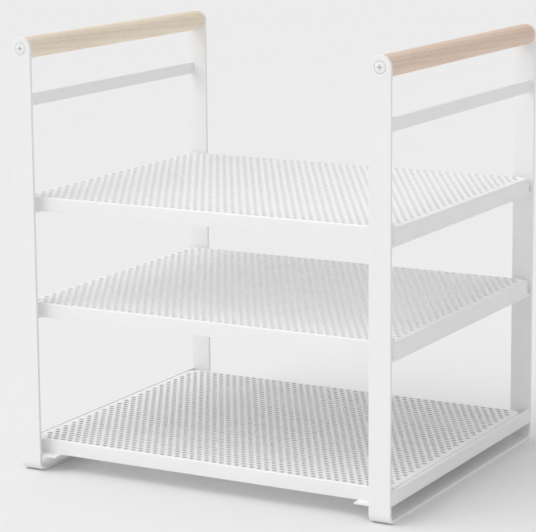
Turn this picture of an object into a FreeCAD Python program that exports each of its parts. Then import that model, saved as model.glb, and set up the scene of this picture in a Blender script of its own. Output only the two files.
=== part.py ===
import FreeCAD, Part
import math
import os

# Three-tier countertop shelf riser, millimetres.
# X is the width, Y the depth (front at -Y), Z is up, and the origin is on the floor
# under the middle of the riser. Flat steel bar bent into two U shaped side frames
# carries three perforated trays, and a wooden dowel closes the top of each frame.

# Driving dimensions
WIDTH = 369.0                 # over the outer edges of the side frames
DEPTH = 306.0                 # over the outer faces of the posts
HEIGHT = 392.0                # floor to the top of the posts

BAR_WIDTH = 20.0              # flat bar of the side frames
BAR_THICKNESS = 3.0
BAR_EDGE_RADIUS = 0.4         # rolled edge of every flat bar
FRAME_BEND_RADIUS = 9.0       # outside of the bend from post to floor run

TRAY_TOPS = {"top": 250.0, "middle": 154.0, "bottom": 28.5}
TRAY_SIDE_INSETS = {"top": 1.5, "middle": 1.5, "bottom": 4.0}    # to the frame's outer edge
TRAY_FRONT_GAPS = {"top": 7.0, "middle": 7.0, "bottom": 8.0}     # to the front posts' inner faces
TRAY_REAR_GAPS = {"top": 3.0, "middle": 3.0, "bottom": 8.0}      # to the rear posts' inner faces
TRAY_CORNER_RADII = {"top": 4.0, "middle": 4.0, "bottom": 12.0}
TRAY_RIM_HEIGHT = 13.0
TRAY_BEND_RADIUS = 1.4        # outside of the bend from sheet to rim
SHEET_THICKNESS = 1.0

LEDGE_INSETS = {"top": 1.5, "middle": 1.5, "bottom": 5.0}    # ledge to the frame's outer edge
LEDGE_WIDTHS = {"top": 10.0, "middle": 10.0, "bottom": 30.0}
LEDGE_THICKNESSES = {"top": 3.0, "middle": 3.0, "bottom": 1.5}
SIDE_RAIL_HEIGHT = 12.5       # flat bar on edge beside the bottom tray

CROSSBAR_TOP = 340.0
CROSSBAR_HEIGHT = 11.0
CROSSBAR_INSET = 3.0          # outer face of the crossbar to the outer edge of the frame

DOWEL_DIAMETER = 19.0
DOWEL_EDGE_CHAMFER = 0.4

SCREW_SEAT_DIAMETER = 10.6    # mouth of the countersink in a post
SCREW_SEAT_WALL = 0.8         # straight wall at the mouth
SCREW_SEAT_CONE = 1.9         # height of the cone, down to the plain hole
SCREW_HEAD_DIAMETER = 9.8
SCREW_HEAD_RISE = 0.5         # crown of the head over the face of the post
SCREW_DIAMETER = 4.0
SCREW_LENGTH = 25.0           # from the face of the post to the tip
SCREW_TIP_LENGTH = 4.0
SCREW_TIP_RADIUS = 0.5
SCREW_FIT = 0.05              # radial clearance in the post and in the dowel
RECESS_SPAN = 5.4             # across the cross recess
RECESS_WING = 1.2             # width of one wing
RECESS_DEPTH = 2.4
RECESS_FLOOR_SPAN = 2.2       # span of the recess at its floor

# Derived places
HALF_WIDTH = WIDTH / 2
HALF_DEPTH = DEPTH / 2
POST_INNER_Y = HALF_DEPTH - BAR_THICKNESS
POST_AXIS_X = HALF_WIDTH - BAR_WIDTH / 2
DOWEL_AXIS_Z = HEIGHT - BAR_WIDTH / 2
SCREW_HOLE_RADIUS = SCREW_DIAMETER / 2 + SCREW_FIT
SEAT_SLOPE = (SCREW_SEAT_DIAMETER / 2 - SCREW_HOLE_RADIUS) / SCREW_SEAT_CONE
SIDES = {"left": -1, "right": 1}


def vec(x, y, z):
    return FreeCAD.Vector(x, y, z)


def bar_between_posts(side, x_outer, x_inner, z_low, z_high):
    """Flat bar along Y between the inner faces of the front and rear posts."""
    x_low = min(side * x_outer, side * x_inner)
    size_x = abs(x_outer - x_inner)
    bar = Part.makeBox(size_x, 2 * POST_INNER_Y, z_high - z_low, vec(x_low, -POST_INNER_Y, z_low))
    long_edges = [e for e in bar.Edges if abs(e.Length - 2 * POST_INNER_Y) < 1e-6]
    return bar.makeFillet(BAR_EDGE_RADIUS, long_edges)


def arc(start, middle, end):
    return Part.Arc(start, middle, end).toShape()


def bend_points(centre, radius, angle_from, angle_to):
    """Start, middle and end of an arc in the YZ plane."""
    angles = [angle_from, (angle_from + angle_to) / 2, angle_to]
    turns = [math.radians(a) for a in angles]
    return [vec(0, centre[0] + radius * math.cos(t), centre[1] + radius * math.sin(t)) for t in turns]


def u_outline():
    """Closed section of one side frame: post, bend, floor run, bend, post."""
    outer = FRAME_BEND_RADIUS
    inner = FRAME_BEND_RADIUS - BAR_THICKNESS
    front = (-HALF_DEPTH + outer, outer)
    rear = (HALF_DEPTH - outer, outer)
    front_outer = bend_points(front, outer, 180, 270)
    rear_outer = bend_points(rear, outer, 270, 360)
    rear_inner = bend_points(rear, inner, 360, 270)
    front_inner = bend_points(front, inner, 270, 180)
    front_top_outer = vec(0, -HALF_DEPTH, HEIGHT)
    front_top_inner = vec(0, -POST_INNER_Y, HEIGHT)
    rear_top_outer = vec(0, HALF_DEPTH, HEIGHT)
    rear_top_inner = vec(0, POST_INNER_Y, HEIGHT)
    line = Part.makeLine
    return Part.Wire([
        line(front_top_outer, front_outer[0]),
        arc(*front_outer),
        line(front_outer[2], rear_outer[0]),
        arc(*rear_outer),
        line(rear_outer[2], rear_top_outer),
        line(rear_top_outer, rear_top_inner),
        line(rear_top_inner, rear_inner[0]),
        arc(*rear_inner),
        line(rear_inner[2], front_inner[0]),
        arc(*front_inner),
        line(front_inner[2], front_top_inner),
        line(front_top_inner, front_top_outer),
    ])


def round_topped_slab():
    """Slab as wide as the bar, with a half round top about the dowel's axis."""
    radius = BAR_WIDTH / 2
    y = -HALF_DEPTH
    low_left = vec(-radius, y, 0)
    high_left = vec(-radius, y, DOWEL_AXIS_Z)
    crown = vec(0, y, HEIGHT)
    high_right = vec(radius, y, DOWEL_AXIS_Z)
    low_right = vec(radius, y, 0)
    outline = Part.Wire([
        Part.makeLine(low_left, high_left),
        arc(high_left, crown, high_right),
        Part.makeLine(high_right, low_right),
        Part.makeLine(low_right, low_left),
    ])
    return Part.Face(outline).extrude(vec(0, DEPTH, 0))


def outside_edges(frame):
    """The edges that run along the bar at its two sides."""
    radius = BAR_WIDTH / 2
    chosen = []
    for edge in frame.Edges:
        box = edge.BoundBox
        at_side = box.XLength < 1e-6 and abs(abs(box.XMin) - radius) < 1e-6
        over_top = box.YLength < 1e-6 and box.XLength > radius
        if at_side or over_top:
            chosen.append(edge)
    return chosen


def side_frame(side):
    """Flat bar bent to a U, with half round post tops and two countersunk screw holes."""
    blank = Part.Face(u_outline()).extrude(vec(BAR_WIDTH, 0, 0))
    blank.translate(vec(-BAR_WIDTH / 2, 0, 0))
    frame = blank.common(round_topped_slab())
    frame = frame.removeSplitter()
    frame = frame.makeFillet(BAR_EDGE_RADIUS, outside_edges(frame))
    hole = Part.makeCylinder(
        SCREW_HOLE_RADIUS, DEPTH, vec(0, -HALF_DEPTH, DOWEL_AXIS_Z), vec(0, 1, 0)
    )
    frame = frame.cut(hole)
    seat_radius = SCREW_SEAT_DIAMETER / 2
    for end in (-1, 1):
        inward = vec(0, -end, 0)
        mouth = vec(0, end * HALF_DEPTH, DOWEL_AXIS_Z)
        shoulder = mouth + inward * SCREW_SEAT_WALL
        wall = Part.makeCylinder(seat_radius, SCREW_SEAT_WALL, mouth, inward)
        cone = Part.makeCone(seat_radius, SCREW_HOLE_RADIUS, SCREW_SEAT_CONE, shoulder, inward)
        frame = frame.cut(wall).cut(cone)
    frame.translate(vec(side * POST_AXIS_X, 0, 0))
    return frame


def rounded_block(half_x, y_front, y_rear, z_low, z_high, corner, top_bend):
    """Block with rounded upright corners and a rounded top edge."""
    block = Part.makeBox(2 * half_x, y_rear - y_front, z_high - z_low, vec(-half_x, y_front, z_low))
    upright = [e for e in block.Edges if e.BoundBox.ZLength > 1e-6]
    block = block.makeFillet(corner, upright)
    top = [e for e in block.Edges if e.BoundBox.ZMin > z_high - 1e-6]
    return block.makeFillet(top_bend, top)


def tray(level):
    """Sheet tray with its rims folded down on all four sides."""
    top = TRAY_TOPS[level]
    half_x = HALF_WIDTH - TRAY_SIDE_INSETS[level]
    y_front = -POST_INNER_Y + TRAY_FRONT_GAPS[level]
    y_rear = POST_INNER_Y - TRAY_REAR_GAPS[level]
    corner = TRAY_CORNER_RADII[level]
    rim_foot = top - TRAY_RIM_HEIGHT
    outside = rounded_block(half_x, y_front, y_rear, rim_foot, top, corner, TRAY_BEND_RADIUS)
    inside = rounded_block(
        half_x - SHEET_THICKNESS,
        y_front + SHEET_THICKNESS,
        y_rear - SHEET_THICKNESS,
        rim_foot - SHEET_THICKNESS,
        top - SHEET_THICKNESS,
        corner - SHEET_THICKNESS,
        TRAY_BEND_RADIUS - SHEET_THICKNESS,
    )
    return outside.cut(inside)


def ledge(side, level):
    """Flat bar lying under one side of a tray, which stands on it."""
    outer = HALF_WIDTH - LEDGE_INSETS[level]
    inner = outer - LEDGE_WIDTHS[level]
    rim_foot = TRAY_TOPS[level] - TRAY_RIM_HEIGHT
    return bar_between_posts(side, outer, inner, rim_foot - LEDGE_THICKNESSES[level], rim_foot)


def side_rail(side):
    """Flat bar on edge beside the bottom tray, flush with the frame and the tray's top."""
    rail_top = TRAY_TOPS["bottom"]
    return bar_between_posts(
        side, HALF_WIDTH, HALF_WIDTH - BAR_THICKNESS, rail_top - SIDE_RAIL_HEIGHT, rail_top
    )


def crossbar(side):
    """Flat bar on edge that ties the two posts below the handle."""
    outer = HALF_WIDTH - CROSSBAR_INSET
    return bar_between_posts(
        side, outer, outer - BAR_THICKNESS, CROSSBAR_TOP - CROSSBAR_HEIGHT, CROSSBAR_TOP
    )


def handle(side):
    """Wooden dowel between the post tops, with a pilot hole in each end."""
    length = 2 * POST_INNER_Y
    centre = vec(side * POST_AXIS_X, -POST_INNER_Y, DOWEL_AXIS_Z)
    dowel = Part.makeCylinder(DOWEL_DIAMETER / 2, length, centre, vec(0, 1, 0))
    rims = [e for e in dowel.Edges if isinstance(e.Curve, Part.Circle)]
    dowel = dowel.makeChamfer(DOWEL_EDGE_CHAMFER, rims)
    pilot_depth = SCREW_LENGTH - BAR_THICKNESS + SCREW_TIP_RADIUS
    for end in (-1, 1):
        mouth = vec(side * POST_AXIS_X, end * POST_INNER_Y, DOWEL_AXIS_Z)
        pilot = Part.makeCylinder(SCREW_HOLE_RADIUS, pilot_depth, mouth, vec(0, -end, 0))
        dowel = dowel.cut(pilot)
    return dowel


def recess_wing():
    """One tapering wing of the cross recess, cut down from the head's crown."""
    top = SCREW_HEAD_RISE
    floor = top - RECESS_DEPTH
    half_top = RECESS_SPAN / 2
    half_floor = RECESS_FLOOR_SPAN / 2
    corners = [
        vec(-half_top, -RECESS_WING / 2, top),
        vec(half_top, -RECESS_WING / 2, top),
        vec(half_floor, -RECESS_WING / 2, floor),
        vec(-half_floor, -RECESS_WING / 2, floor),
    ]
    outline = Part.makePolygon(corners + corners[:1])
    return Part.Face(outline).extrude(vec(0, RECESS_WING, 0))


def seat_depth(radius):
    """Depth under the face of the post at which the seat's cone has this radius."""
    return SCREW_SEAT_WALL + (SCREW_SEAT_DIAMETER / 2 - radius) / SEAT_SLOPE


def screw():
    """Raised countersunk wood screw: Z=0 is the face of the post, and the tip is below it."""
    head = SCREW_HEAD_DIAMETER / 2
    shank = SCREW_DIAMETER / 2
    crown = vec(0, 0, SCREW_HEAD_RISE)
    rim = vec(head, 0, 0)
    dome_radius = (head**2 + SCREW_HEAD_RISE**2) / (2 * SCREW_HEAD_RISE)
    half_turn = math.asin(head / dome_radius) / 2
    dome_drop = dome_radius * (1 - math.cos(half_turn))
    dome_middle = vec(dome_radius * math.sin(half_turn), 0, SCREW_HEAD_RISE - dome_drop)
    seat_top = vec(head, 0, -seat_depth(head))
    neck = vec(shank, 0, -seat_depth(shank))
    taper = vec(shank, 0, -SCREW_LENGTH + SCREW_TIP_LENGTH)
    tip_edge = vec(SCREW_TIP_RADIUS, 0, -SCREW_LENGTH)
    tip = vec(0, 0, -SCREW_LENGTH)
    half_section = Part.Wire([
        arc(crown, dome_middle, rim),
        Part.makeLine(rim, seat_top),
        Part.makeLine(seat_top, neck),
        Part.makeLine(neck, taper),
        Part.makeLine(taper, tip_edge),
        Part.makeLine(tip_edge, tip),
        Part.makeLine(tip, crown),
    ])
    body = Part.Face(half_section).revolve(vec(0, 0, 0), vec(0, 0, 1), 360)
    wing = recess_wing()
    crossing_wing = wing.copy()
    crossing_wing.rotate(vec(0, 0, 0), vec(0, 0, 1), 90)
    return body.cut(wing.fuse(crossing_wing))


def handle_screws():
    """The four handle screws, one through the top of each post."""
    placed = []
    for side in SIDES.values():
        for end in (-1, 1):
            one = screw()
            one.rotate(vec(0, 0, 0), vec(1, 0, 0), -90 * end)
            one.translate(vec(side * POST_AXIS_X, end * HALF_DEPTH, DOWEL_AXIS_Z))
            placed.append(one)
    return Part.makeCompound(placed)


def build():
    """Every node of the riser by name."""
    nodes = {"handle_screws": handle_screws()}
    for level in TRAY_TOPS:
        nodes[f"{level}_tray"] = tray(level)
        for name, side in SIDES.items():
            nodes[f"{name}_{level}_ledge"] = ledge(side, level)
    for name, side in SIDES.items():
        nodes[f"{name}_frame"] = side_frame(side)
        nodes[f"{name}_crossbar"] = crossbar(side)
        nodes[f"{name}_bottom_side_rail"] = side_rail(side)
        nodes[f"{name}_handle"] = handle(side)
    return nodes


os.makedirs("parts", exist_ok=True)
for node, shape in build().items():
    if not shape.isValid():
        raise ValueError(f"{node} is not a valid solid")
    shape.exportStep(f"parts/{node}.step")
    print(node, len(shape.Solids), round(shape.Volume, 1))
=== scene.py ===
import math

import bmesh
import bpy
from bpy.props import (
    FloatProperty,
    FloatVectorProperty,
    IntProperty,
    PointerProperty,
)
from bpy.types import Operator, Panel, PropertyGroup
from mathutils import Matrix, Vector
from mathutils.geometry import delaunay_2d_cdt


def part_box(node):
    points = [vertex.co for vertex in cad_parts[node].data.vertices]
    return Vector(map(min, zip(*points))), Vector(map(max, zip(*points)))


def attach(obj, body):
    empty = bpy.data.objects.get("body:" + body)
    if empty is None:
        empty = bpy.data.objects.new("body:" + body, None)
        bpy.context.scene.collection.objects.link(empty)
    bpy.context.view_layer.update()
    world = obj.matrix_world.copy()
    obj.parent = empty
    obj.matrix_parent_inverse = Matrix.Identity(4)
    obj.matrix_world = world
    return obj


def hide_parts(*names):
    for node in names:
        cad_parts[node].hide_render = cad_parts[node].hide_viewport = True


bl_info = {
    "name": "Tiered Shelf Riser",
    "version": (1, 0, 0),
    "blender": (4, 5, 0),
    "location": "View3D > Sidebar > Riser",
    "description": "Builds a shelf riser with bent bar sides, perforated trays and wooden handles",
    "category": "Object",
}

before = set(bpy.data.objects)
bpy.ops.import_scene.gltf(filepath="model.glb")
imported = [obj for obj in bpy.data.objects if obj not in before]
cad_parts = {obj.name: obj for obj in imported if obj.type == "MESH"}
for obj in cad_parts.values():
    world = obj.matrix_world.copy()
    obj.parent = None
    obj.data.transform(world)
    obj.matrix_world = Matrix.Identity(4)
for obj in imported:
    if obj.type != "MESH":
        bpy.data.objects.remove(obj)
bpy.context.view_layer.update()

BODY = "root"
SIDES = ("left", "right")
LEVELS = ("top", "middle", "bottom")
FULL_TURN = 2 * math.pi
QUARTER_TURN = math.pi / 2
MM = 0.001
ROUND_STEPS = 64    # facets round a screw head and its seat
DOWEL_STEPS = 96    # facets round a handle
CORNER_STEPS = 12    # facets round one corner of a tray
FOLD_STEPS = 6    # facets round the fold of a rim
WELD_REACH = MM / 500    # points closer than this are one point
NOISE_SPREAD = (0.3, 0.7)    # the range that a noise texture mostly fills


# ---------------------------------------------------------------- settings


class RiserBars(PropertyGroup):
    """Sizes of the flat bar that the CAD boxes don't say."""

    bend_radius: FloatProperty(
        name="Bend radius",
        description="Outside radius of the bend from post to floor run",
        default=0.009,
        unit="LENGTH",
    )
    bend_steps: IntProperty(
        name="Bend steps", description="Facets round one bend of the bar", default=14
    )
    crown_steps: IntProperty(
        name="Crown steps", description="Facets round one quarter of a post top", default=16
    )
    edge_radius: FloatProperty(
        name="Edge radius",
        description="Rounding along the edges of the coated bar",
        default=0.0004,
        unit="LENGTH",
    )
    edge_steps: IntProperty(
        name="Edge steps", description="Facets round one edge of the bar", default=4
    )


class RiserTrays(PropertyGroup):
    """Sheet and perforation of the three trays."""

    sheet: FloatProperty(
        name="Sheet", description="Thickness of the tray sheet", default=0.001, unit="LENGTH"
    )
    flap_corner: FloatProperty(
        name="Flap corner",
        description="Plan radius where the rims of the two upper trays meet",
        default=0.004,
        unit="LENGTH",
    )
    corner_radius: FloatProperty(
        name="Corner radius",
        description="Plan radius of the bottom tray and of the punched field",
        default=0.012,
        unit="LENGTH",
    )
    relief: FloatProperty(
        name="Corner relief",
        description="Sheet left between the fold and the relief opening in an upper tray's corner",
        default=0.0003,
        unit="LENGTH",
    )
    fold_radius: FloatProperty(
        name="Fold radius",
        description="Outside radius of the fold from sheet to rim",
        default=0.0014,
        unit="LENGTH",
    )
    hole_diameter: FloatProperty(
        name="Hole diameter", description="Diameter of one punched hole", default=0.005, unit="LENGTH"
    )
    hole_pitch: FloatProperty(
        name="Hole pitch", description="Hole spacing along the width", default=0.0075, unit="LENGTH"
    )
    row_pitch: FloatProperty(
        name="Row pitch", description="Rough spacing of the staggered rows", default=0.0065, unit="LENGTH"
    )
    side_margin: FloatProperty(
        name="Side margin", description="Plain sheet at the left and right", default=0.0022, unit="LENGTH"
    )
    front_margin: FloatProperty(
        name="Front margin", description="Plain sheet at the front", default=0.0009, unit="LENGTH"
    )
    back_margin: FloatProperty(
        name="Back margin", description="Plain sheet at the back", default=0.0015, unit="LENGTH"
    )
    hole_steps: IntProperty(
        name="Hole steps", description="Facets round one punched hole", default=16
    )


class RiserCoat(PropertyGroup):
    """White powder coat of the steel."""

    colour: FloatVectorProperty(
        name="Coat",
        description="Colour of the powder coat",
        default=(0.93, 0.93, 0.93),
        size=3,
        subtype="COLOR",
    )
    shade: FloatVectorProperty(
        name="Coat shade",
        description="Slightly greyer tone where the coat is thin",
        default=(0.912, 0.913, 0.915),
        size=3,
        subtype="COLOR",
    )
    roughness: FloatProperty(
        name="Roughness", description="Roughness of the satin coat", default=0.48, subtype="FACTOR"
    )
    peel: FloatProperty(
        name="Peel",
        description="Height of the fine orange peel texture",
        default=0.000012,
        unit="LENGTH",
        precision=6,
    )


class RiserWood(PropertyGroup):
    """Pale hardwood of the handles."""

    early: FloatVectorProperty(
        name="Early wood",
        description="Lighter tone between the rings",
        default=(0.92, 0.82, 0.67),
        size=3,
        subtype="COLOR",
    )
    late: FloatVectorProperty(
        name="Late wood",
        description="Darker tone of the rings",
        default=(0.82, 0.68, 0.54),
        size=3,
        subtype="COLOR",
    )
    fleck: FloatVectorProperty(
        name="Fleck",
        description="Brown of the short pore flecks",
        default=(0.38, 0.26, 0.18),
        size=3,
        subtype="COLOR",
    )
    roughness: FloatProperty(
        name="Roughness", description="Roughness of the sanded wood", default=0.58, subtype="FACTOR"
    )
    end_radius: FloatProperty(
        name="End radius", description="Rounding at the dowel's ends", default=0.0004, unit="LENGTH"
    )


class RiserScrews(PropertyGroup):
    """Raised countersunk heads of the handle screws and their seats in the posts."""

    seat_diameter: FloatProperty(
        name="Seat diameter", description="Mouth of the countersink", default=0.0106, unit="LENGTH"
    )
    seat_wall: FloatProperty(
        name="Seat wall", description="Straight wall at the mouth", default=0.0008, unit="LENGTH"
    )
    seat_cone: FloatProperty(
        name="Seat cone", description="Height of the countersink's cone", default=0.0019, unit="LENGTH"
    )
    hole_diameter: FloatProperty(
        name="Hole diameter", description="Plain hole under the seat", default=0.0041, unit="LENGTH"
    )
    shank_diameter: FloatProperty(
        name="Shank diameter", description="Diameter of the shank", default=0.004, unit="LENGTH"
    )
    length: FloatProperty(
        name="Length", description="From the face of the post to the tip", default=0.025, unit="LENGTH"
    )
    recess_span: FloatProperty(
        name="Recess span", description="Across the cross recess", default=0.0054, unit="LENGTH"
    )
    recess_wing: FloatProperty(
        name="Recess wing", description="Width of a wing of the recess", default=0.0012, unit="LENGTH"
    )
    recess_depth: FloatProperty(
        name="Recess depth", description="Depth of the recess at its middle", default=0.0024, unit="LENGTH"
    )


class RiserStage(PropertyGroup):
    """Camera, floor and studio light."""

    camera_place: FloatVectorProperty(
        name="Camera place",
        description="Where the camera stands",
        default=(0.975, -1.797, 0.586),
        size=3,
        subtype="XYZ",
        unit="LENGTH",
    )
    camera_turn: FloatProperty(
        name="Camera turn", description="Turn to the left of straight ahead, in degrees", default=28.80
    )
    camera_dip: FloatProperty(
        name="Camera dip", description="Look down below the horizon, in degrees", default=10.48
    )
    camera_roll: FloatProperty(name="Camera roll", description="Roll, in degrees", default=0.44)
    lens: FloatProperty(
        name="Lens", description="Focal length of the camera, in millimetres", default=153.7
    )
    lens_rise: FloatProperty(
        name="Lens rise", description="Vertical shift of the lens", default=-0.0625
    )
    surround: FloatProperty(
        name="Surround", description="Brightness of the white room", default=0.58
    )
    floor_tone: FloatProperty(
        name="Floor tone", description="Grey level of the floor", default=0.83, subtype="FACTOR"
    )
    key_strength: FloatProperty(
        name="Key strength", description="Strength of the overhead light", default=0.69
    )
    key_travel: FloatVectorProperty(
        name="Key travel",
        description="Direction in which the overhead light travels",
        default=(0.29, 0.10, -1.0),
        size=3,
        subtype="DIRECTION",
    )
    key_softness: FloatProperty(
        name="Key softness", description="Apparent width of the overhead light, in degrees", default=70.0
    )
    side_strength: FloatProperty(
        name="Side strength", description="Strength of the light at the front left", default=1.06
    )
    side_travel: FloatVectorProperty(
        name="Side travel",
        description="Direction in which the front left light travels",
        default=(0.7, 0.66, -0.9),
        size=3,
        subtype="DIRECTION",
    )
    side_softness: FloatProperty(
        name="Side softness",
        description="Apparent width of the front left light, in degrees",
        default=60.0,
    )


# ---------------------------------------------------------------- materials


def new_material(name):
    """An empty node material with its principled shader."""
    material = bpy.data.materials.new(name)
    material.use_nodes = True
    shader = material.node_tree.nodes["Principled BSDF"]
    return material, material.node_tree, shader


def add(tree, kind, **values):
    """A node with its plain properties set."""
    node = tree.nodes.new(kind)
    for key, value in values.items():
        setattr(node, key, value)
    return node


def object_noise(tree, scale, detail, stretch=(1, 1, 1), roughness=0.5):
    """Noise over the object's own coordinates."""
    place = add(tree, "ShaderNodeTexCoord")
    mapping = add(tree, "ShaderNodeMapping")
    mapping.inputs["Scale"].default_value = stretch
    noise = add(tree, "ShaderNodeTexNoise")
    noise.inputs["Scale"].default_value = scale
    noise.inputs["Detail"].default_value = detail
    noise.inputs["Roughness"].default_value = roughness
    tree.links.new(place.outputs["Object"], mapping.inputs["Vector"])
    tree.links.new(mapping.outputs["Vector"], noise.inputs["Vector"])
    return noise.outputs["Fac"]


def remap(tree, value, low, high, to_low, to_high):
    """Value spread from one range to another."""
    node = add(tree, "ShaderNodeMapRange")
    node.inputs["From Min"].default_value = low
    node.inputs["From Max"].default_value = high
    node.inputs["To Min"].default_value = to_low
    node.inputs["To Max"].default_value = to_high
    tree.links.new(value, node.inputs["Value"])
    return node.outputs["Result"]


def blend_colours(tree, factor, first, second, mode="MIX"):
    """Mix of two colours or colour outputs."""
    node = add(tree, "ShaderNodeMix", data_type="RGBA", blend_type=mode)
    sockets = {s.identifier: s for s in node.inputs}
    for socket, value in (
        (sockets["Factor_Float"], factor),
        (sockets["A_Color"], first),
        (sockets["B_Color"], second),
    ):
        if isinstance(value, bpy.types.NodeSocket):
            tree.links.new(value, socket)
        elif isinstance(value, float):
            socket.default_value = value
        else:
            socket.default_value = (*value, 1)
    return next(s for s in node.outputs if s.identifier == "Result_Color")


def calculate(tree, operation, first, second=0.0):
    """One sum on outputs or numbers."""
    node = add(tree, "ShaderNodeMath", operation=operation)
    for socket, value in zip(node.inputs, (first, second)):
        if isinstance(value, bpy.types.NodeSocket):
            tree.links.new(value, socket)
        else:
            socket.default_value = value
    return node.outputs["Value"]


def bump(tree, shader, height, distance):
    """Surface relief of that height in metres."""
    node = add(tree, "ShaderNodeBump")
    node.inputs["Distance"].default_value = distance
    tree.links.new(height, node.inputs["Height"])
    tree.links.new(node.outputs["Normal"], shader.inputs["Normal"])


def coat_material(name, colour, shade, roughness, peel):
    """Satin powder coat: fine orange peel, faint thickness tone and uneven gloss."""
    material, tree, shader = new_material(name)
    patches_per_metre = 38.0
    grains_per_metre = 950.0
    uneven = 0.05
    thickness = object_noise(tree, patches_per_metre, 3.0)
    grain = object_noise(tree, grains_per_metre, 2.0)
    tone = remap(tree, thickness, *NOISE_SPREAD, 0.0, 1.0)
    tree.links.new(blend_colours(tree, tone, shade, colour), shader.inputs["Base Color"])
    gloss = remap(tree, grain, *NOISE_SPREAD, roughness - uneven, roughness + uneven)
    tree.links.new(gloss, shader.inputs["Roughness"])
    bump(tree, shader, grain, peel)
    return material


def distance_from_pith(tree, pith):
    """Distance from a pith line that leans along Y and wanders a little."""
    lean = 0.035
    wander_reach = 0.0035
    place = add(tree, "ShaderNodeTexCoord")
    axes = add(tree, "ShaderNodeSeparateXYZ")
    tree.links.new(place.outputs["Object"], axes.inputs["Vector"])
    across = calculate(tree, "SUBTRACT", axes.outputs["X"], pith[0])
    up = calculate(tree, "SUBTRACT", axes.outputs["Z"], pith[1])
    up = calculate(tree, "ADD", up, calculate(tree, "MULTIPLY", axes.outputs["Y"], lean))
    across_squared = calculate(tree, "MULTIPLY", across, across)
    up_squared = calculate(tree, "MULTIPLY", up, up)
    reach = calculate(tree, "SQRT", calculate(tree, "ADD", across_squared, up_squared))
    wander = object_noise(tree, 60.0, 3.0, (1, 0.06, 1))
    return calculate(tree, "ADD", reach, calculate(tree, "MULTIPLY", wander, wander_reach))


def wood_material(name, early, late, fleck, roughness, pith):
    """Straight grained hardwood along Y, with growth rings about a pith line outside the dowel."""
    ring_turns = 1700.0
    ring_share = 0.55
    pore_depth = 0.6
    relief_height = 0.00004
    material, tree, shader = new_material(name)
    reach = distance_from_pith(tree, pith)
    ring = calculate(tree, "SINE", calculate(tree, "MULTIPLY", reach, ring_turns))
    ring = remap(tree, ring, -0.6, 1.0, 0.0, 1.0)
    fibre = object_noise(tree, 1400.0, 3.0, (1, 0.02, 1))
    cloud = object_noise(tree, 26.0, 2.0, (1, 0.35, 1))
    body = blend_colours(tree, calculate(tree, "MULTIPLY", ring, ring_share), early, late)
    body = blend_colours(tree, remap(tree, cloud, 0.35, 0.7, 0.0, 0.45), body, late)
    streak = remap(tree, fibre, 0.42, 0.62, 0.0, 0.30)
    body = blend_colours(tree, streak, body, late)
    pores = object_noise(tree, 2600.0, 1.0, (1, 0.055, 1))
    dash = remap(tree, pores, 0.66, 0.72, 0.0, 0.55)
    body = blend_colours(tree, dash, body, fleck)
    tree.links.new(body, shader.inputs["Base Color"])
    gloss = remap(tree, fibre, *NOISE_SPREAD, roughness - 0.06, roughness + 0.08)
    tree.links.new(gloss, shader.inputs["Roughness"])
    relief = calculate(tree, "SUBTRACT", fibre, calculate(tree, "MULTIPLY", dash, pore_depth))
    bump(tree, shader, relief, relief_height)
    return material


def shared_material(name, make):
    """The material of that name, made once."""
    return bpy.data.materials.get(name) or make()


def riser_coat():
    """The powder coat of the frames, bars and trays."""
    coat = bpy.context.scene.riser_coat
    return shared_material(
        "powder_coat_white",
        lambda: coat_material(
            "powder_coat_white", coat.colour, coat.shade, coat.roughness, coat.peel
        ),
    )


def screw_coat():
    """The smoother enamel of the screw heads."""
    coat = bpy.context.scene.riser_coat
    smoother = 0.3
    return shared_material(
        "screw_enamel_white",
        lambda: coat_material("screw_enamel_white", coat.colour, coat.shade, smoother, coat.peel / 2),
    )


def handle_wood(side):
    """Each handle is cut from another place in the board, so its rings and tone differ."""
    wood = bpy.context.scene.riser_wood
    low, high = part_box(f"{side}_handle")
    middle = (Vector(low) + Vector(high)) / 2
    offset = {"left": (-0.021, 0.034), "right": (0.029, -0.026)}[side]
    blush = {"left": (1.0, 1.0, 1.0), "right": (0.90, 0.81, 0.82)}[side]
    early = [tone * tint for tone, tint in zip(wood.early, blush)]
    late = [tone * tint for tone, tint in zip(wood.late, blush)]
    pith = (middle.x + offset[0], middle.z + offset[1])
    return wood_material(f"handle_wood_{side}", early, late, wood.fleck, wood.roughness, pith)


# ---------------------------------------------------------------- mesh helpers


def add_piece(name, mesh, material, node):
    """Links a mesh as the piece that stands for a CAD node."""
    mesh.materials.append(material)
    piece = bpy.data.objects.new(name, mesh)
    bpy.context.scene.collection.objects.link(piece)
    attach(piece, BODY)
    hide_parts(node)
    return piece


def smooth_mesh(mesh, sharp_angle=math.radians(40)):
    """Smooth faces with sharp edges above an angle."""
    mesh.shade_smooth()
    mesh.set_sharp_from_angle(angle=sharp_angle)


def flatten_large_faces(piece):
    """Rounded edges shade into the flats beside them without tilting the flats."""
    modifier = piece.modifiers.new("face_weights", "WEIGHTED_NORMAL")
    modifier.keep_sharp = True
    modifier.weight = 100


def close_outward(bm):
    """Normals of a closed mesh turned outward."""
    bmesh.ops.recalc_face_normals(bm, faces=bm.faces)


def mesh_from(bm, name):
    """Mesh data from a bmesh, which is freed."""
    mesh = bpy.data.meshes.new(name)
    bm.to_mesh(mesh)
    bm.free()
    return mesh


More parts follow.
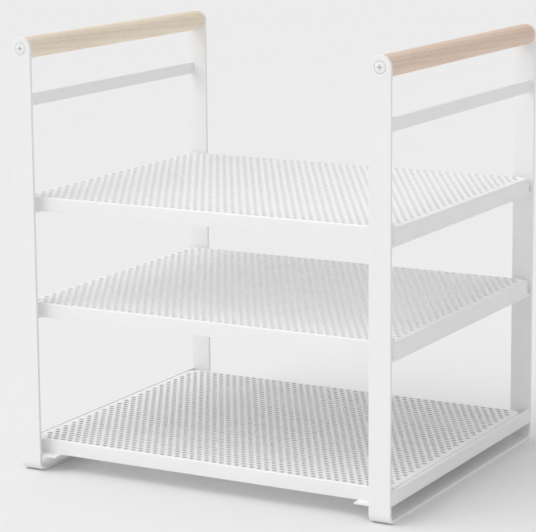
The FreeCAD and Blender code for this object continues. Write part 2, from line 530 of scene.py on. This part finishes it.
def subtract(mesh, cutter_mesh):
    """The mesh with the cutter taken out of it; both given meshes are removed."""
    cutter = bpy.data.objects.new("cutter", cutter_mesh)
    blank = bpy.data.objects.new("blank", mesh)
    for obj in (cutter, blank):
        bpy.context.scene.collection.objects.link(obj)
    cut = blank.modifiers.new("cut", "BOOLEAN")
    cut.operation = "DIFFERENCE"
    cut.solver = "EXACT"
    cut.use_self = True
    cut.object = cutter
    graph = bpy.context.evaluated_depsgraph_get()
    result = bpy.data.meshes.new_from_object(blank.evaluated_get(graph))
    for obj in (cutter, blank):
        data = obj.data
        bpy.data.objects.remove(obj)
        bpy.data.meshes.remove(data)
    weld_seams(result)
    return result


def weld_seams(mesh):
    """Joins the points that a cut leaves on top of each other."""
    bm = bmesh.new()
    bm.from_mesh(mesh)
    bmesh.ops.remove_doubles(bm, verts=bm.verts, dist=WELD_REACH)
    bmesh.ops.dissolve_degenerate(bm, edges=bm.edges, dist=WELD_REACH)
    bmesh.ops.triangulate(bm, faces=[face for face in bm.faces if len(face.verts) > 4])
    bm.to_mesh(mesh)
    bm.free()


def join_loops(bm, first, second):
    """Quads between two closed loops of as many vertices."""
    count = len(first)
    for i in range(count):
        j = (i + 1) % count
        bm.faces.new((first[i], first[j], second[j], second[i]))


def edge_section(half_thickness, radius, steps):
    """(inset, depth) points round the edge of a plate, from one face to the other."""
    points = []
    for sign in (1, -1):
        turns = range(steps + 1) if sign > 0 else range(steps, -1, -1)
        for step in turns:
            angle = QUARTER_TURN * step / steps
            inset = radius * (1 - math.sin(angle))
            depth = sign * (half_thickness - radius * (1 - math.cos(angle)))
            points.append((inset, depth))
    return points


def lathe(bm, profile, steps):
    """Turns (radius, height) points about Z; the profile starts and ends on the axis."""
    rings = []
    for radius, height in profile:
        if radius == 0:
            rings.append([bm.verts.new((0, 0, height))])
            continue
        ring = []
        for step in range(steps):
            angle = FULL_TURN * step / steps
            ring.append(bm.verts.new((radius * math.cos(angle), radius * math.sin(angle), height)))
        rings.append(ring)
    for first, second in zip(rings, rings[1:]):
        for i in range(steps):
            j = (i + 1) % steps
            if len(first) == 1:
                bm.faces.new((first[0], second[i], second[j]))
            elif len(second) == 1:
                bm.faces.new((first[i], first[j], second[0]))
            else:
                bm.faces.new((first[i], first[j], second[j], second[i]))
    close_outward(bm)


def stand_out(end, place):
    """Turns a shape made about Z so that it faces out of the front or rear posts."""
    return Matrix.Translation(place) @ Matrix.Rotation(-end * QUARTER_TURN, 4, "X")


# ---------------------------------------------------------------- side frames


def blank_outline(half_width, crown_heights, stations, crown_steps):
    """Outline of the flat blank before bending: (x, along, outward x, outward along).

    One long side goes down the stations, and both ends are half rounds.
    """
    start, end = crown_heights
    right_side = [(half_width, s, 1.0, 0.0) for s in stations]
    left_side = [(-half_width, s, -1.0, 0.0) for s in reversed(stations)]
    first_crown = []
    last_crown = []
    for step in range(1, 2 * crown_steps):
        angle = math.pi * step / (2 * crown_steps)
        cos, sin = math.cos(angle), math.sin(angle)
        first_crown.append((-half_width * cos, start - half_width * sin, -cos, -sin))
        last_crown.append((half_width * cos, end + half_width * sin, cos, sin))
    return right_side + last_crown + left_side + first_crown


class BentPath:
    """Middle line of the bar: down the front post, along the floor and up the rear post."""

    def __init__(self, post_y, height, radius, thickness):
        self.radius = radius - thickness / 2
        self.straight = height - radius
        self.arc = QUARTER_TURN * self.radius
        self.run = 2 * (post_y - radius)
        self.post_y = post_y - thickness / 2
        self.centre_y = post_y - radius
        self.centre_z = radius
        self.length = 2 * self.straight + 2 * self.arc + self.run

    def place(self, along, outward):
        """(y, z) at a length along the bar, moved outward from its middle line."""
        if along > self.length / 2:
            y, z = self.place(self.length - along, outward)
            return -y, z
        if along <= self.straight:
            return -self.post_y - outward, self.centre_z + self.straight - along
        turned = (along - self.straight) / self.radius
        if turned <= QUARTER_TURN:
            reach = self.radius + outward
            return (
                -self.centre_y - reach * math.cos(turned),
                self.centre_z - reach * math.sin(turned),
            )
        forward = along - self.straight - self.arc
        return -self.centre_y + forward, self.centre_z - self.radius - outward


def build_side_frame(side):
    """One flat bar bent to a U, with half round post tops and softly rounded edges."""
    bars = bpy.context.scene.riser_bars
    low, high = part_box(f"{side}_frame")
    handle_low, handle_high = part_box(f"{side}_handle")
    thickness = high[1] - handle_high[1]
    half_width = (high[0] - low[0]) / 2
    middle_x = (high[0] + low[0]) / 2
    path = BentPath(high[1], high[2], bars.bend_radius, thickness)
    stations = [half_width, path.straight]
    stations += [path.straight + path.arc * i / bars.bend_steps for i in range(1, bars.bend_steps + 1)]
    stations += [path.length - s for s in reversed(stations)]
    outline = blank_outline(
        half_width, (half_width, path.length - half_width), stations, bars.crown_steps
    )
    section = edge_section(thickness / 2, bars.edge_radius, bars.edge_steps)
    bm = bmesh.new()
    loops = []
    for inset, depth in section:
        loop = []
        for x, along, out_x, out_along in outline:
            y, z = path.place(along - out_along * inset, depth)
            loop.append(bm.verts.new((middle_x + x - out_x * inset, y, z)))
        loops.append(loop)
    for first, second in zip(loops, loops[1:]):
        join_loops(bm, first, second)
    for loop in (loops[0], loops[-1]):
        fill_ladder(bm, loop, len(stations), bars.crown_steps)
    close_outward(bm)
    mesh = mesh_from(bm, f"{side}_frame_bar")
    axis_z = (handle_high[2] + handle_low[2]) / 2
    for end in (-1, 1):
        mesh = subtract(mesh, seat_cutter(end, (middle_x, end * high[1], axis_z)))
    smooth_mesh(mesh)
    piece = add_piece(f"{side}_frame_bar", mesh, riser_coat(), f"{side}_frame")
    flatten_large_faces(piece)


def seat_depth(radius):
    """Depth under the face of the post at which the seat's cone has this radius."""
    screws = bpy.context.scene.riser_screws
    slope = (screws.seat_diameter - screws.hole_diameter) / 2 / screws.seat_cone
    return screws.seat_wall + (screws.seat_diameter / 2 - radius) / slope


def seat_cutter(end, place):
    """Cutter for a countersink with a straight mouth and the plain hole through the bar."""
    screws = bpy.context.scene.riser_screws
    mouth = screws.seat_diameter / 2
    hole = screws.hole_diameter / 2
    through = -2 * seat_depth(hole)
    profile = [
        (0, MM),
        (mouth, MM),
        (mouth, -screws.seat_wall),
        (hole, -seat_depth(hole)),
        (hole, through),
        (0, through),
    ]
    bm = bmesh.new()
    lathe(bm, profile, ROUND_STEPS)
    mesh = mesh_from(bm, "seat_cutter")
    mesh.transform(stand_out(end, place))
    return mesh


def fill_ladder(bm, loop, count, crown_steps):
    """Rungs of quads across the blank, and a fan of rungs over each crown."""
    crown = 2 * crown_steps - 1
    right = loop[:count]
    last = loop[count : count + crown]
    left = loop[count + crown : 2 * count + crown]
    first = loop[2 * count + crown :]
    left.reverse()
    for i in range(count - 1):
        bm.faces.new((right[i], right[i + 1], left[i + 1], left[i]))
    rung_crown(bm, (right[-1], *last, left[-1]))
    rung_crown(bm, (left[0], *first, right[0]))


def rung_crown(bm, arc):
    """Quads across a half round, closed by a triangle at its top."""
    low, high = 0, len(arc) - 1
    while high - low > 2:
        bm.faces.new((arc[low], arc[low + 1], arc[high - 1], arc[high]))
        low += 1
        high -= 1
    bm.faces.new((arc[low], arc[low + 1], arc[high]))


# ---------------------------------------------------------------- straight bars


def build_straight_bar(node):
    """A flat bar cut square at its ends, with rounded long edges."""
    bars = bpy.context.scene.riser_bars
    low, high = (Vector(corner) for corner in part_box(node))
    bm = bmesh.new()
    bmesh.ops.create_cube(bm, size=1.0)
    size = high - low
    centre = (high + low) / 2
    bmesh.ops.transform(
        bm, verts=bm.verts, matrix=Matrix.Translation(centre) @ Matrix.Diagonal((*size, 1))
    )
    long_edges = [e for e in bm.edges if abs(e.verts[0].co.y - e.verts[1].co.y) > size.y / 2]
    bmesh.ops.bevel(
        bm,
        geom=long_edges,
        offset=bars.edge_radius,
        segments=bars.edge_steps,
        profile=0.5,
        affect="EDGES",
    )
    close_outward(bm)
    mesh = mesh_from(bm, f"{node}_bar")
    smooth_mesh(mesh)
    piece = add_piece(f"{node}_bar", mesh, riser_coat(), node)
    flatten_large_faces(piece)


# ---------------------------------------------------------------- perforated trays


def rounded_rectangle(half_x, half_y, radius, steps):
    """Points of a rounded rectangle, counter-clockwise."""
    points = []
    for quarter, (sign_x, sign_y) in enumerate(((1, 1), (-1, 1), (-1, -1), (1, -1))):
        for step in range(steps + 1):
            angle = QUARTER_TURN * (quarter + step / steps)
            x = sign_x * (half_x - radius) + radius * math.cos(angle)
            y = sign_y * (half_y - radius) + radius * math.sin(angle)
            points.append((x, y))
    return points


def inside_rounded(x, y, half_x, low_y, high_y, radius):
    """True inside a rounded rectangle that may reach further to one end."""
    if abs(x) > half_x or y < low_y or y > high_y:
        return False
    past_x = abs(x) - (half_x - radius)
    past_y = max(low_y + radius - y, y - (high_y - radius))
    return past_x <= 0 or past_y <= 0 or math.hypot(past_x, past_y) <= radius


def hole_centres(half_x, half_y, trays):
    """Centres of the staggered holes, in rows that fill the sheet from front to back."""
    radius = trays.hole_diameter / 2
    reach_x = half_x - trays.side_margin - radius
    front = -half_y + trays.fold_radius + trays.front_margin + radius
    back = half_y - trays.fold_radius - trays.back_margin - radius
    corner = trays.corner_radius - radius
    rows = round((back - front) / trays.row_pitch)
    columns = int(2 * reach_x / trays.hole_pitch) + 2
    slack = radius / 8
    centres = []
    for row in range(rows + 1):
        y = front + row * (back - front) / rows
        shift = trays.hole_pitch / 2 if row % 2 else 0
        for column in range(-columns // 2, columns // 2 + 1):
            x = column * trays.hole_pitch + shift
            if inside_rounded(x, y, reach_x, front - slack, back + slack, corner):
                centres.append((x, y))
    return centres


def corner_reliefs(half_x, half_y, trays):
    """Outlines of the openings between the rounded sheet and the corners of straight rims."""
    steps = 8
    web = MM
    skirt = trays.fold_radius + trays.relief
    reach = trays.corner_radius - web
    small = trays.flap_corner - skirt
    first, last = math.radians(22), math.radians(68)
    inner = [first + (last - first) * i / steps for i in range(steps + 1)]
    outer = [QUARTER_TURN * (1 - i / steps) for i in range(steps + 1)]
    outline = [
        (reach * math.cos(t) - trays.corner_radius, reach * math.sin(t) - trays.corner_radius)
        for t in inner
    ]
    outline += [
        (small * math.cos(t) - trays.flap_corner, small * math.sin(t) - trays.flap_corner)
        for t in outer
    ]
    return [
        [(sx * (half_x + x), sy * (half_y + y)) for x, y in outline]
        for sx in (-1, 1)
        for sy in (-1, 1)
    ]


def punched_outlines(half_x, half_y, trays, has_relief):
    """Every closed opening in the flat sheet."""
    radius = trays.hole_diameter / 2
    turns = [FULL_TURN * (step + 0.5) / trays.hole_steps for step in range(trays.hole_steps)]
    outlines = [
        [(x + radius * math.cos(t), y + radius * math.sin(t)) for t in turns]
        for x, y in hole_centres(half_x, half_y, trays)
    ]
    if has_relief:
        outlines += corner_reliefs(half_x, half_y, trays)
    return outlines


def perforated_plan(outline, openings):
    """Flat sheet with its openings: points, triangles, outline indices and opening indices."""
    points = [Vector(p) / MM for p in outline]
    rings = []
    for opening in openings:
        rings.append(range(len(points), len(points) + len(opening)))
        points += [Vector(p) / MM for p in opening]
    loops = [range(len(outline)), *rings]
    edges = [(loop[i], loop[(i + 1) % len(loop)]) for loop in loops for i in range(len(loop))]
    found, _, triangles, origins, _, _ = delaunay_2d_cdt(points, edges, [], 0, 1e-5)
    ring_of = {index: number for number, ring in enumerate(rings) for index in ring}
    source = [origin[0] for origin in origins]
    kept = []
    for triangle in triangles:
        owners = {ring_of.get(source[corner], -1 - corner) for corner in triangle}
        if len(owners) > 1:
            kept.append([source[corner] for corner in triangle])
    flat = [None] * len(points)
    for index, point in zip(source, found):
        flat[index] = point * MM
    return flat, kept, list(loops[0]), [list(ring) for ring in rings]


def rim_section(trays, rim_height, steps):
    """(inset, drop) down the outside of the rim and back up its inside."""
    fold = trays.fold_radius
    inner = fold - trays.sheet
    outside = []
    inside = []
    for step in range(1, steps + 1):
        angle = QUARTER_TURN * step / steps
        outside.append((fold * (1 - math.sin(angle)), fold * (1 - math.cos(angle))))
        inside.append((fold - inner * math.sin(angle), fold - inner * math.cos(angle)))
    inside.reverse()
    return outside + [(0.0, rim_height), (trays.sheet, rim_height)] + inside


def tray_mesh(half_x, half_y, rim_height, corner):
    """Perforated sheet folded down on four sides, its top at Z = 0."""
    trays = bpy.context.scene.riser_trays
    fold = trays.fold_radius
    outline = rounded_rectangle(half_x - fold, half_y - fold, corner - fold, CORNER_STEPS)
    has_relief = corner < trays.corner_radius
    openings = punched_outlines(half_x, half_y, trays, has_relief)
    plan, triangles, border, rings = perforated_plan(outline, openings)
    bm = bmesh.new()
    upper = [bm.verts.new((p.x, p.y, 0)) for p in plan]
    lower = [bm.verts.new((p.x, p.y, -trays.sheet)) for p in plan]
    for a, b, c in triangles:
        bm.faces.new((upper[a], upper[b], upper[c]))
        bm.faces.new((lower[c], lower[b], lower[a]))
    for ring in rings:
        join_loops(bm, [upper[i] for i in ring], [lower[i] for i in ring])
    previous = [upper[i] for i in border]
    sheet_edge = [previous]
    for inset, drop in rim_section(trays, rim_height, FOLD_STEPS):
        points = rounded_rectangle(half_x - inset, half_y - inset, corner - inset, CORNER_STEPS)
        loop = [bm.verts.new((x, y, -drop)) for x, y in points]
        join_loops(bm, loop, previous)
        previous = loop
    last = [lower[i] for i in border]
    join_loops(bm, last, previous)
    sheet_edge.append(last)
    close_outward(bm)
    for loop in sheet_edge:
        keep_sharp(bm, loop)
    mesh = mesh_from(bm, "tray_sheet")
    smooth_mesh(mesh)
    return mesh


def keep_sharp(bm, loop):
    """Marks the edges of a closed loop as sharp."""
    for i, vertex in enumerate(loop):
        edge = bm.edges.get((vertex, loop[(i + 1) % len(loop)]))
        edge.smooth = False


def build_tray(level):
    """One punched sheet with its rims folded down; the bottom tray has rounded corners."""
    trays = bpy.context.scene.riser_trays
    low, high = (Vector(corner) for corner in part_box(f"{level}_tray"))
    size = high - low
    centre = (high + low) / 2
    corner = trays.corner_radius if level == "bottom" else trays.flap_corner
    mesh = tray_mesh(size.x / 2, size.y / 2, size.z, corner)
    mesh.name = f"{level}_tray_sheet"
    mesh.transform(Matrix.Translation((centre.x, centre.y, high.z)))
    add_piece(f"{level}_tray_sheet", mesh, riser_coat(), f"{level}_tray")


# ---------------------------------------------------------------- handles and screws


def build_handle(side):
    """A round dowel with barely rounded ends."""
    wood = bpy.context.scene.riser_wood
    low, high = (Vector(corner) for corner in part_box(f"{side}_handle"))
    radius = (high.z - low.z) / 2
    half_length = (high.y - low.y) / 2
    end_steps = 4
    half_profile = []
    for step in range(end_steps + 1):
        angle = QUARTER_TURN * step / end_steps
        half_profile.append(
            (
                radius - wood.end_radius * (1 - math.sin(angle)),
                half_length - wood.end_radius * (1 - math.cos(angle)),
            )
        )
    spans = 12
    reach = half_length - wood.end_radius
    barrel = [(radius, reach * (1 - 2 * i / spans)) for i in range(1, spans)]
    mirrored = [(r, -h) for r, h in reversed(half_profile)]
    profile = [(0, half_length), *half_profile, *barrel, *mirrored, (0, -half_length)]
    bm = bmesh.new()
    lathe(bm, profile, DOWEL_STEPS)
    turn = Matrix.Translation((low + high) / 2) @ Matrix.Rotation(QUARTER_TURN, 4, "X")
    bmesh.ops.transform(bm, verts=bm.verts, matrix=turn)
    mesh = mesh_from(bm, f"{side}_handle_dowel")
    smooth_mesh(mesh)
    piece = add_piece(
        f"{side}_handle_dowel", mesh, handle_wood(side), f"{side}_handle"
    )
    flatten_large_faces(piece)


def screw_profile(head_radius, rise):
    """Raised countersunk head, cone and plain pointed shank; Z = 0 is the face of the post."""
    screws = bpy.context.scene.riser_screws
    shank = screws.shank_diameter / 2
    dome = (head_radius**2 + rise**2) / (2 * rise)
    spread = math.asin(head_radius / dome)
    dome_steps = 10
    profile = [(0, rise)]
    for step in range(1, dome_steps + 1):
        angle = spread * step / dome_steps
        profile.append((dome * math.sin(angle), rise - dome * (1 - math.cos(angle))))
    taper = 2 * shank
    tip_radius = shank / 4
    profile += [
        (head_radius, -seat_depth(head_radius)),
        (shank, -seat_depth(shank)),
        (shank, -screws.length + taper),
        (tip_radius, -screws.length),
        (0, -screws.length),
    ]
    return profile


def recess_cutter(rise, turn):
    """One tapering wing of the cross recess, reaching up out of the crown."""
    screws = bpy.context.scene.riser_screws
    wing_taper = 0.3
    levels = ((rise - screws.recess_depth, 0.4), (rise + screws.recess_depth, 1.6))
    bm = bmesh.new()
    corners = []
    for z, share in levels:
        half = screws.recess_span / 2 * share
        wing = screws.recess_wing / 2 * (1 - wing_taper + wing_taper * share)
        corners += [(-half, -wing, z), (half, -wing, z), (half, wing, z), (-half, wing, z)]
    verts = [bm.verts.new(c) for c in corners]
    bm.faces.new(verts[3::-1])
    bm.faces.new(verts[4:])
    join_loops(bm, verts[:4], verts[4:])
    bmesh.ops.rotate(bm, verts=verts, cent=(0, 0, 0), matrix=Matrix.Rotation(turn, 3, "Z"))
    close_outward(bm)
    return mesh_from(bm, "recess_cutter")


def build_screws():
    """Four countersunk screws, one through each post top."""
    low, high = (Vector(corner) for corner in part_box("handle_screws"))
    frame_high = Vector(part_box("right_frame")[1])
    handle_low, handle_high = (Vector(corner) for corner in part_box("right_handle"))
    rise = high.y - frame_high.y
    axis_x = (handle_low.x + handle_high.x) / 2
    axis_z = (low.z + high.z) / 2
    bm = bmesh.new()
    lathe(bm, screw_profile((high.z - low.z) / 2, rise), ROUND_STEPS)
    one = mesh_from(bm, "screw_blank")
    for turn in (0, QUARTER_TURN):
        one = subtract(one, recess_cutter(rise, turn))
    joined = bmesh.new()
    for side in (-1, 1):
        for end in (-1, 1):
            place = (side * axis_x, end * frame_high.y, axis_z)
            part = one.copy()
            part.transform(stand_out(end, place))
            joined.from_mesh(part)
            bpy.data.meshes.remove(part)
    bpy.data.meshes.remove(one)
    mesh = mesh_from(joined, "handle_screw_set")
    smooth_mesh(mesh, math.radians(30))
    add_piece("handle_screw_set", mesh, screw_coat(), "handle_screws")


# ---------------------------------------------------------------- stage


def build_floor():
    """A wide pale floor."""
    stage = bpy.context.scene.riser_stage
    half = 20.0
    bm = bmesh.new()
    bmesh.ops.create_grid(bm, x_segments=1, y_segments=1, size=half)
    floor = bpy.data.objects.new("studio_floor", mesh_from(bm, "studio_floor"))
    bpy.context.scene.collection.objects.link(floor)
    material, tree, shader = new_material("studio_paper")
    tone = stage.floor_tone
    dimmer = tone * 0.998
    shade = remap(tree, object_noise(tree, 3.0, 2.0), *NOISE_SPREAD, 0.0, 1.0)
    mixed = blend_colours(tree, shade, (dimmer,) * 3, (tone,) * 3)
    tree.links.new(mixed, shader.inputs["Base Color"])
    shader.inputs["Roughness"].default_value = 0.9
    shader.inputs["Specular IOR Level"].default_value = 0.1
    floor.data.materials.append(material)


def add_sun(name, strength, travel, softness):
    """A distant light as wide as a soft box."""
    light = bpy.data.lights.new(name, "SUN")
    light.energy = strength
    light.angle = math.radians(softness)
    sun = bpy.data.objects.new(name, light)
    direction = Vector(travel).normalized()
    sun.rotation_euler = direction.to_track_quat("-Z", "Y").to_euler()
    sun.location = -direction * 2
    bpy.context.scene.collection.objects.link(sun)


def build_light():
    """An even white room, a soft overhead light and a wide light at the front left."""
    stage = bpy.context.scene.riser_stage
    world = bpy.data.worlds.new("white_room")
    world.use_nodes = True
    background = world.node_tree.nodes["Background"]
    background.inputs["Color"].default_value = (1, 1, 1, 1)
    background.inputs["Strength"].default_value = stage.surround
    bpy.context.scene.world = world
    add_sun("overhead_light", stage.key_strength, stage.key_travel, stage.key_softness)
    add_sun("front_left_light", stage.side_strength, stage.side_travel, stage.side_softness)


def build_camera():
    """The camera stands to the right of the front and looks slightly down."""
    stage = bpy.context.scene.riser_stage
    data = bpy.data.cameras.new("riser_camera")
    data.lens = stage.lens
    data.shift_y = stage.lens_rise
    data.clip_end = 100.0
    camera = bpy.data.objects.new("riser_camera", data)
    turn = Matrix.Rotation(math.radians(stage.camera_turn), 4, "Z")
    dip = Matrix.Rotation(math.radians(90 - stage.camera_dip), 4, "X")
    roll = Matrix.Rotation(math.radians(-stage.camera_roll), 4, "Z")
    camera.matrix_world = Matrix.Translation(stage.camera_place) @ turn @ dip @ roll
    bpy.context.scene.collection.objects.link(camera)
    bpy.context.scene.camera = camera
    bpy.context.scene.view_settings.view_transform = "Standard"


# ---------------------------------------------------------------- operators


class RISER_OT_side_frames(Operator):
    """Bend the two side frames"""

    bl_idname = "riser.side_frames"
    bl_label = "Side Frames"

    def execute(self, context):
        for side in SIDES:
            build_side_frame(side)
        return {"FINISHED"}


class RISER_OT_cross_bars(Operator):
    """Lay the crossbars, ledges and side rails between the posts"""

    bl_idname = "riser.cross_bars"
    bl_label = "Crossbars, Ledges and Rails"

    def execute(self, context):
        for side in SIDES:
            build_straight_bar(f"{side}_crossbar")
            build_straight_bar(f"{side}_bottom_side_rail")
            for level in LEVELS:
                build_straight_bar(f"{side}_{level}_ledge")
        return {"FINISHED"}


class RISER_OT_trays(Operator):
    """Punch and fold the three trays"""

    bl_idname = "riser.trays"
    bl_label = "Perforated Trays"

    def execute(self, context):
        for level in LEVELS:
            build_tray(level)
        return {"FINISHED"}


class RISER_OT_handles(Operator):
    """Turn the two wooden handles"""

    bl_idname = "riser.handles"
    bl_label = "Wooden Handles"

    def execute(self, context):
        for side in SIDES:
            build_handle(side)
        return {"FINISHED"}


class RISER_OT_screws(Operator):
    """Drive the four handle screws"""

    bl_idname = "riser.screws"
    bl_label = "Handle Screws"

    def execute(self, context):
        build_screws()
        return {"FINISHED"}


class RISER_OT_stage(Operator):
    """Set the floor, the light and the camera"""

    bl_idname = "riser.stage"
    bl_label = "Stage"

    def execute(self, context):
        build_floor()
        build_light()
        build_camera()
        return {"FINISHED"}


class RISER_PT_panel(Panel):
    """The riser's steps in the sidebar"""

    bl_idname = "RISER_PT_panel"
    bl_label = "Tiered Shelf Riser"
    bl_space_type = "VIEW_3D"
    bl_region_type = "UI"
    bl_category = "Riser"

    def draw(self, context):
        column = self.layout.column(align=True)
        for operator in OPERATORS:
            column.operator(operator.bl_idname)
        for name, group in GROUPS.items():
            box = self.layout.box()
            box.label(text=group.__doc__)
            for key in group.__annotations__:
                box.prop(getattr(context.scene, name), key)


OPERATORS = (
    RISER_OT_side_frames,
    RISER_OT_cross_bars,
    RISER_OT_trays,
    RISER_OT_handles,
    RISER_OT_screws,
    RISER_OT_stage,
)
GROUPS = {
    "riser_bars": RiserBars,
    "riser_trays": RiserTrays,
    "riser_coat": RiserCoat,
    "riser_wood": RiserWood,
    "riser_screws": RiserScrews,
    "riser_stage": RiserStage,
}


def register():
    """Registers the settings, the operators and the panel."""
    for name, group in GROUPS.items():
        bpy.utils.register_class(group)
        setattr(bpy.types.Scene, name, PointerProperty(type=group))
    for operator in OPERATORS:
        bpy.utils.register_class(operator)
    bpy.utils.register_class(RISER_PT_panel)


def unregister():
    """Takes them all off again."""
    bpy.utils.unregister_class(RISER_PT_panel)
    for operator in reversed(OPERATORS):
        bpy.utils.unregister_class(operator)
    for name, group in reversed(GROUPS.items()):
        delattr(bpy.types.Scene, name)
        bpy.utils.unregister_class(group)


def main():
    """Builds the riser and its stage."""
    register()
    bpy.ops.riser.side_frames()
    bpy.ops.riser.cross_bars()
    bpy.ops.riser.trays()
    bpy.ops.riser.handles()
    bpy.ops.riser.screws()
    bpy.ops.riser.stage()


if __name__ == "__main__":
    main()
